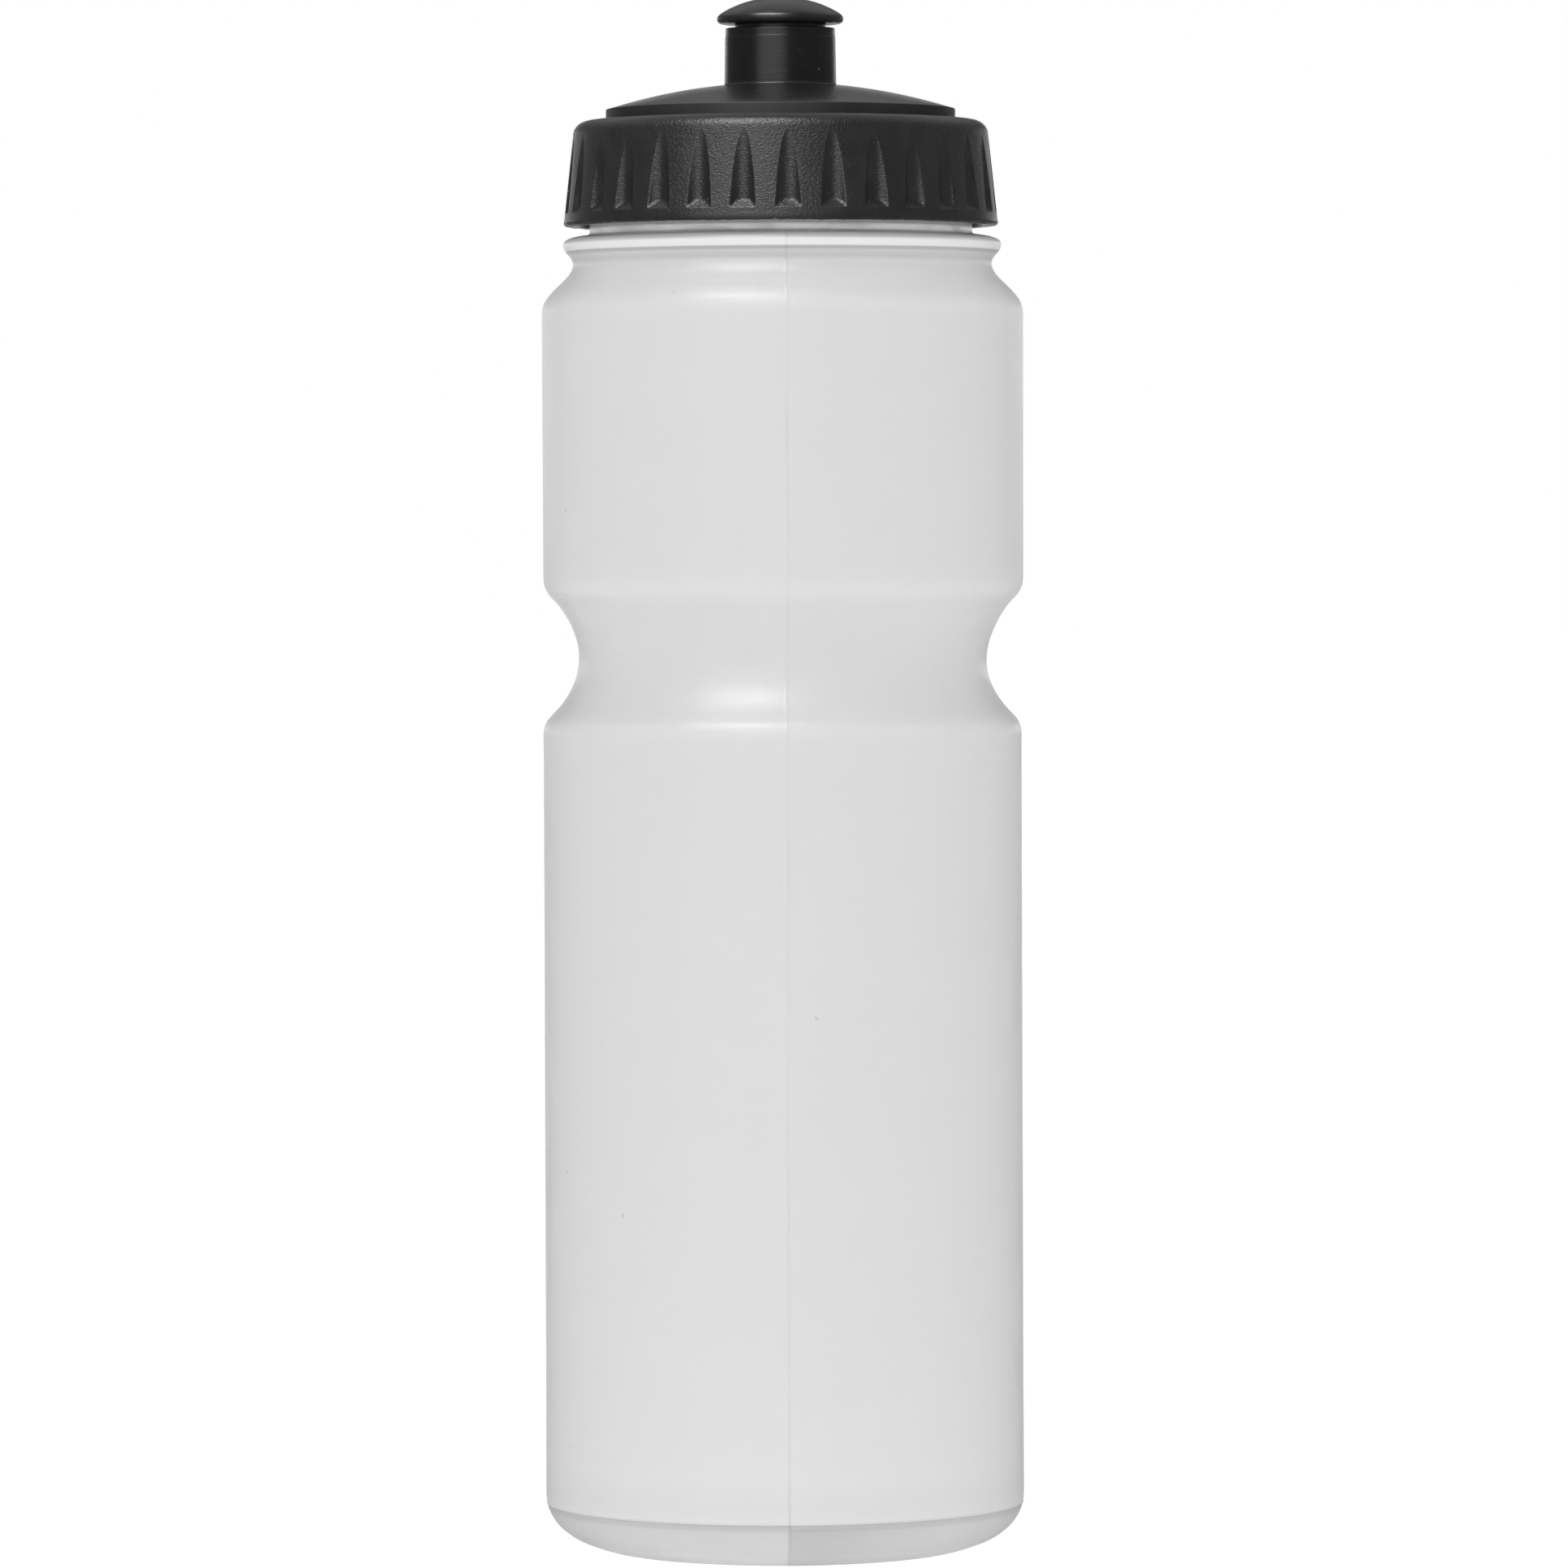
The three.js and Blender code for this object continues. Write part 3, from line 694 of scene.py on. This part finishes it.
# a little brighter to the camera than as a light, so that it comes out white
path = Graph(paper.node_tree).add("ShaderNodeLightPath").outputs["Is Camera Ray"]
Graph(paper.node_tree).put(sheet.inputs["Emission Strength"],
                           Graph(paper.node_tree).math("ADD", 0.42, Graph(paper.node_tree).math("MULTIPLY", path, 0.22)))
floor.visible_glossy = False
floor_mesh.materials.append(paper)

world = bpy.data.worlds.new("studio")
world.use_nodes = True
world.cycles.sampling_method = "NONE"
scene.world = world
w = Graph(world.node_tree)
x, y, z = w.add("ShaderNodeSeparateXYZ", Vector=w.add("ShaderNodeTexCoord").outputs["Generated"]).outputs
ray = w.add("ShaderNodeLightPath").outputs
azimuth = w.math("ARCTAN2", x, w.math("MULTIPLY", y, -1.0))
elevation = w.math("ARCSINE", z)

# soft light on matt surfaces: full in front and at the sides, weaker behind and overhead
soft = w.math("MULTIPLY",
              w.band(w.math("ADD", y, w.math("MULTIPLY", x, 0.12)), -0.16, 0.40, FRONT_LIGHT, BACK_LIGHT),
              w.band(z, 0.50, 0.95, 1.0, TOP_LIGHT))
# what glossy surfaces mirror: a large softbox in front on the left, dark surroundings, and a
# white sheet behind the bottle
key = w.math("MULTIPLY", w.band(w.math("ABSOLUTE", w.math("ADD", azimuth, 0.35)), 0.66, 0.30),
             w.math("MULTIPLY", w.band(elevation, -0.02, 0.50, 0.25, 1.0), w.band(elevation, 1.05, 0.6)))
low_sheet = w.band(y, 0.955, 0.985)
wide_sheet = w.math("MULTIPLY", w.band(y, 0.72, 0.90),
                    w.math("MULTIPLY", w.band(elevation, -0.01, 0.01), w.band(elevation, 0.13, 0.08)))
dim = w.band(w.math("MULTIPLY", w.band(y, -0.2, 0.2), w.band(elevation, 0.2, 0.7)), 0.0, 1.0, 0.14, 0.50)
mirrored = w.math("ADD", w.math("MULTIPLY", key, KEY_LIGHT),
                  w.math("MAXIMUM", dim, w.math("MAXIMUM", low_sheet, wide_sheet)))
seen = w.math("ADD", w.math("MULTIPLY", ray["Is Glossy Ray"], mirrored),
              w.math("MULTIPLY", w.math("SUBTRACT", 1.0, ray["Is Glossy Ray"]), soft))
background = w.tree.nodes["Background"]
background.inputs["Color"].default_value = grey(1.0)
w.put(background.inputs["Strength"], w.math("MAXIMUM", seen, ray["Is Camera Ray"]))


def softbox(name, azimuth, elevation, distance, width, height, watts):
    """An area light on a sphere round the bottle. Azimuth 0 is in front, positive to the right."""
    lamp = bpy.data.lights.new(name, "AREA")
    lamp.shape, lamp.size, lamp.size_y, lamp.energy = "RECTANGLE", width, height, watts
    obj = bpy.data.objects.new(name, lamp)
    a, e = math.radians(azimuth), math.radians(elevation)
    middle = Vector((0, 0, 0.13))
    back = Vector((math.sin(a) * math.cos(e), -math.cos(a) * math.cos(e), math.sin(e)))
    obj.location = middle + back * distance
    obj.rotation_mode = "QUATERNION"
    obj.rotation_quaternion = back.to_track_quat("Z", "Y")
    scene.collection.objects.link(obj)
    return obj


overhead = softbox("overhead_front", -30, 60, 1.1, 0.62, 0.56, OVERHEAD_WATTS)
overhead.visible_diffuse = False
overhead.visible_volume_scatter = False

# ---------------------------------------------------------------------- camera

DISTANCE, EYE, AIM = 1.455, 0.1578, 0.1180
turn = math.radians(-1.0)
camera = bpy.data.cameras.new("camera")
camera.sensor_width = 36.0
camera.lens = 216.8
camera.clip_start, camera.clip_end = 0.05, 60.0
camera.dof.use_dof = False
eye = bpy.data.objects.new("camera", camera)
scene.collection.objects.link(eye)
right = Vector((math.cos(turn), math.sin(turn), 0))
place = Vector((math.sin(turn) * DISTANCE, -math.cos(turn) * DISTANCE, EYE)) + right * 0.00019
look = Vector((0, 0, AIM)) + right * 0.00019
eye.rotation_mode = "QUATERNION"
eye.location = place
eye.rotation_quaternion = (look - place).to_track_quat("-Z", "Y") @ Matrix.Rotation(math.radians(-0.195), 3, "Z").to_quaternion()
scene.camera = eye

scene.view_settings.view_transform = "Standard"
scene.view_settings.look = "None"
scene.view_settings.exposure = 0.0
scene.view_settings.gamma = 1.0
scene.cycles.use_denoising = True
scene.cycles.max_bounces = 16
scene.cycles.diffuse_bounces = 8
scene.cycles.glossy_bounces = 6
scene.cycles.transmission_bounces = 8
scene.cycles.sample_clamp_indirect = 8.0
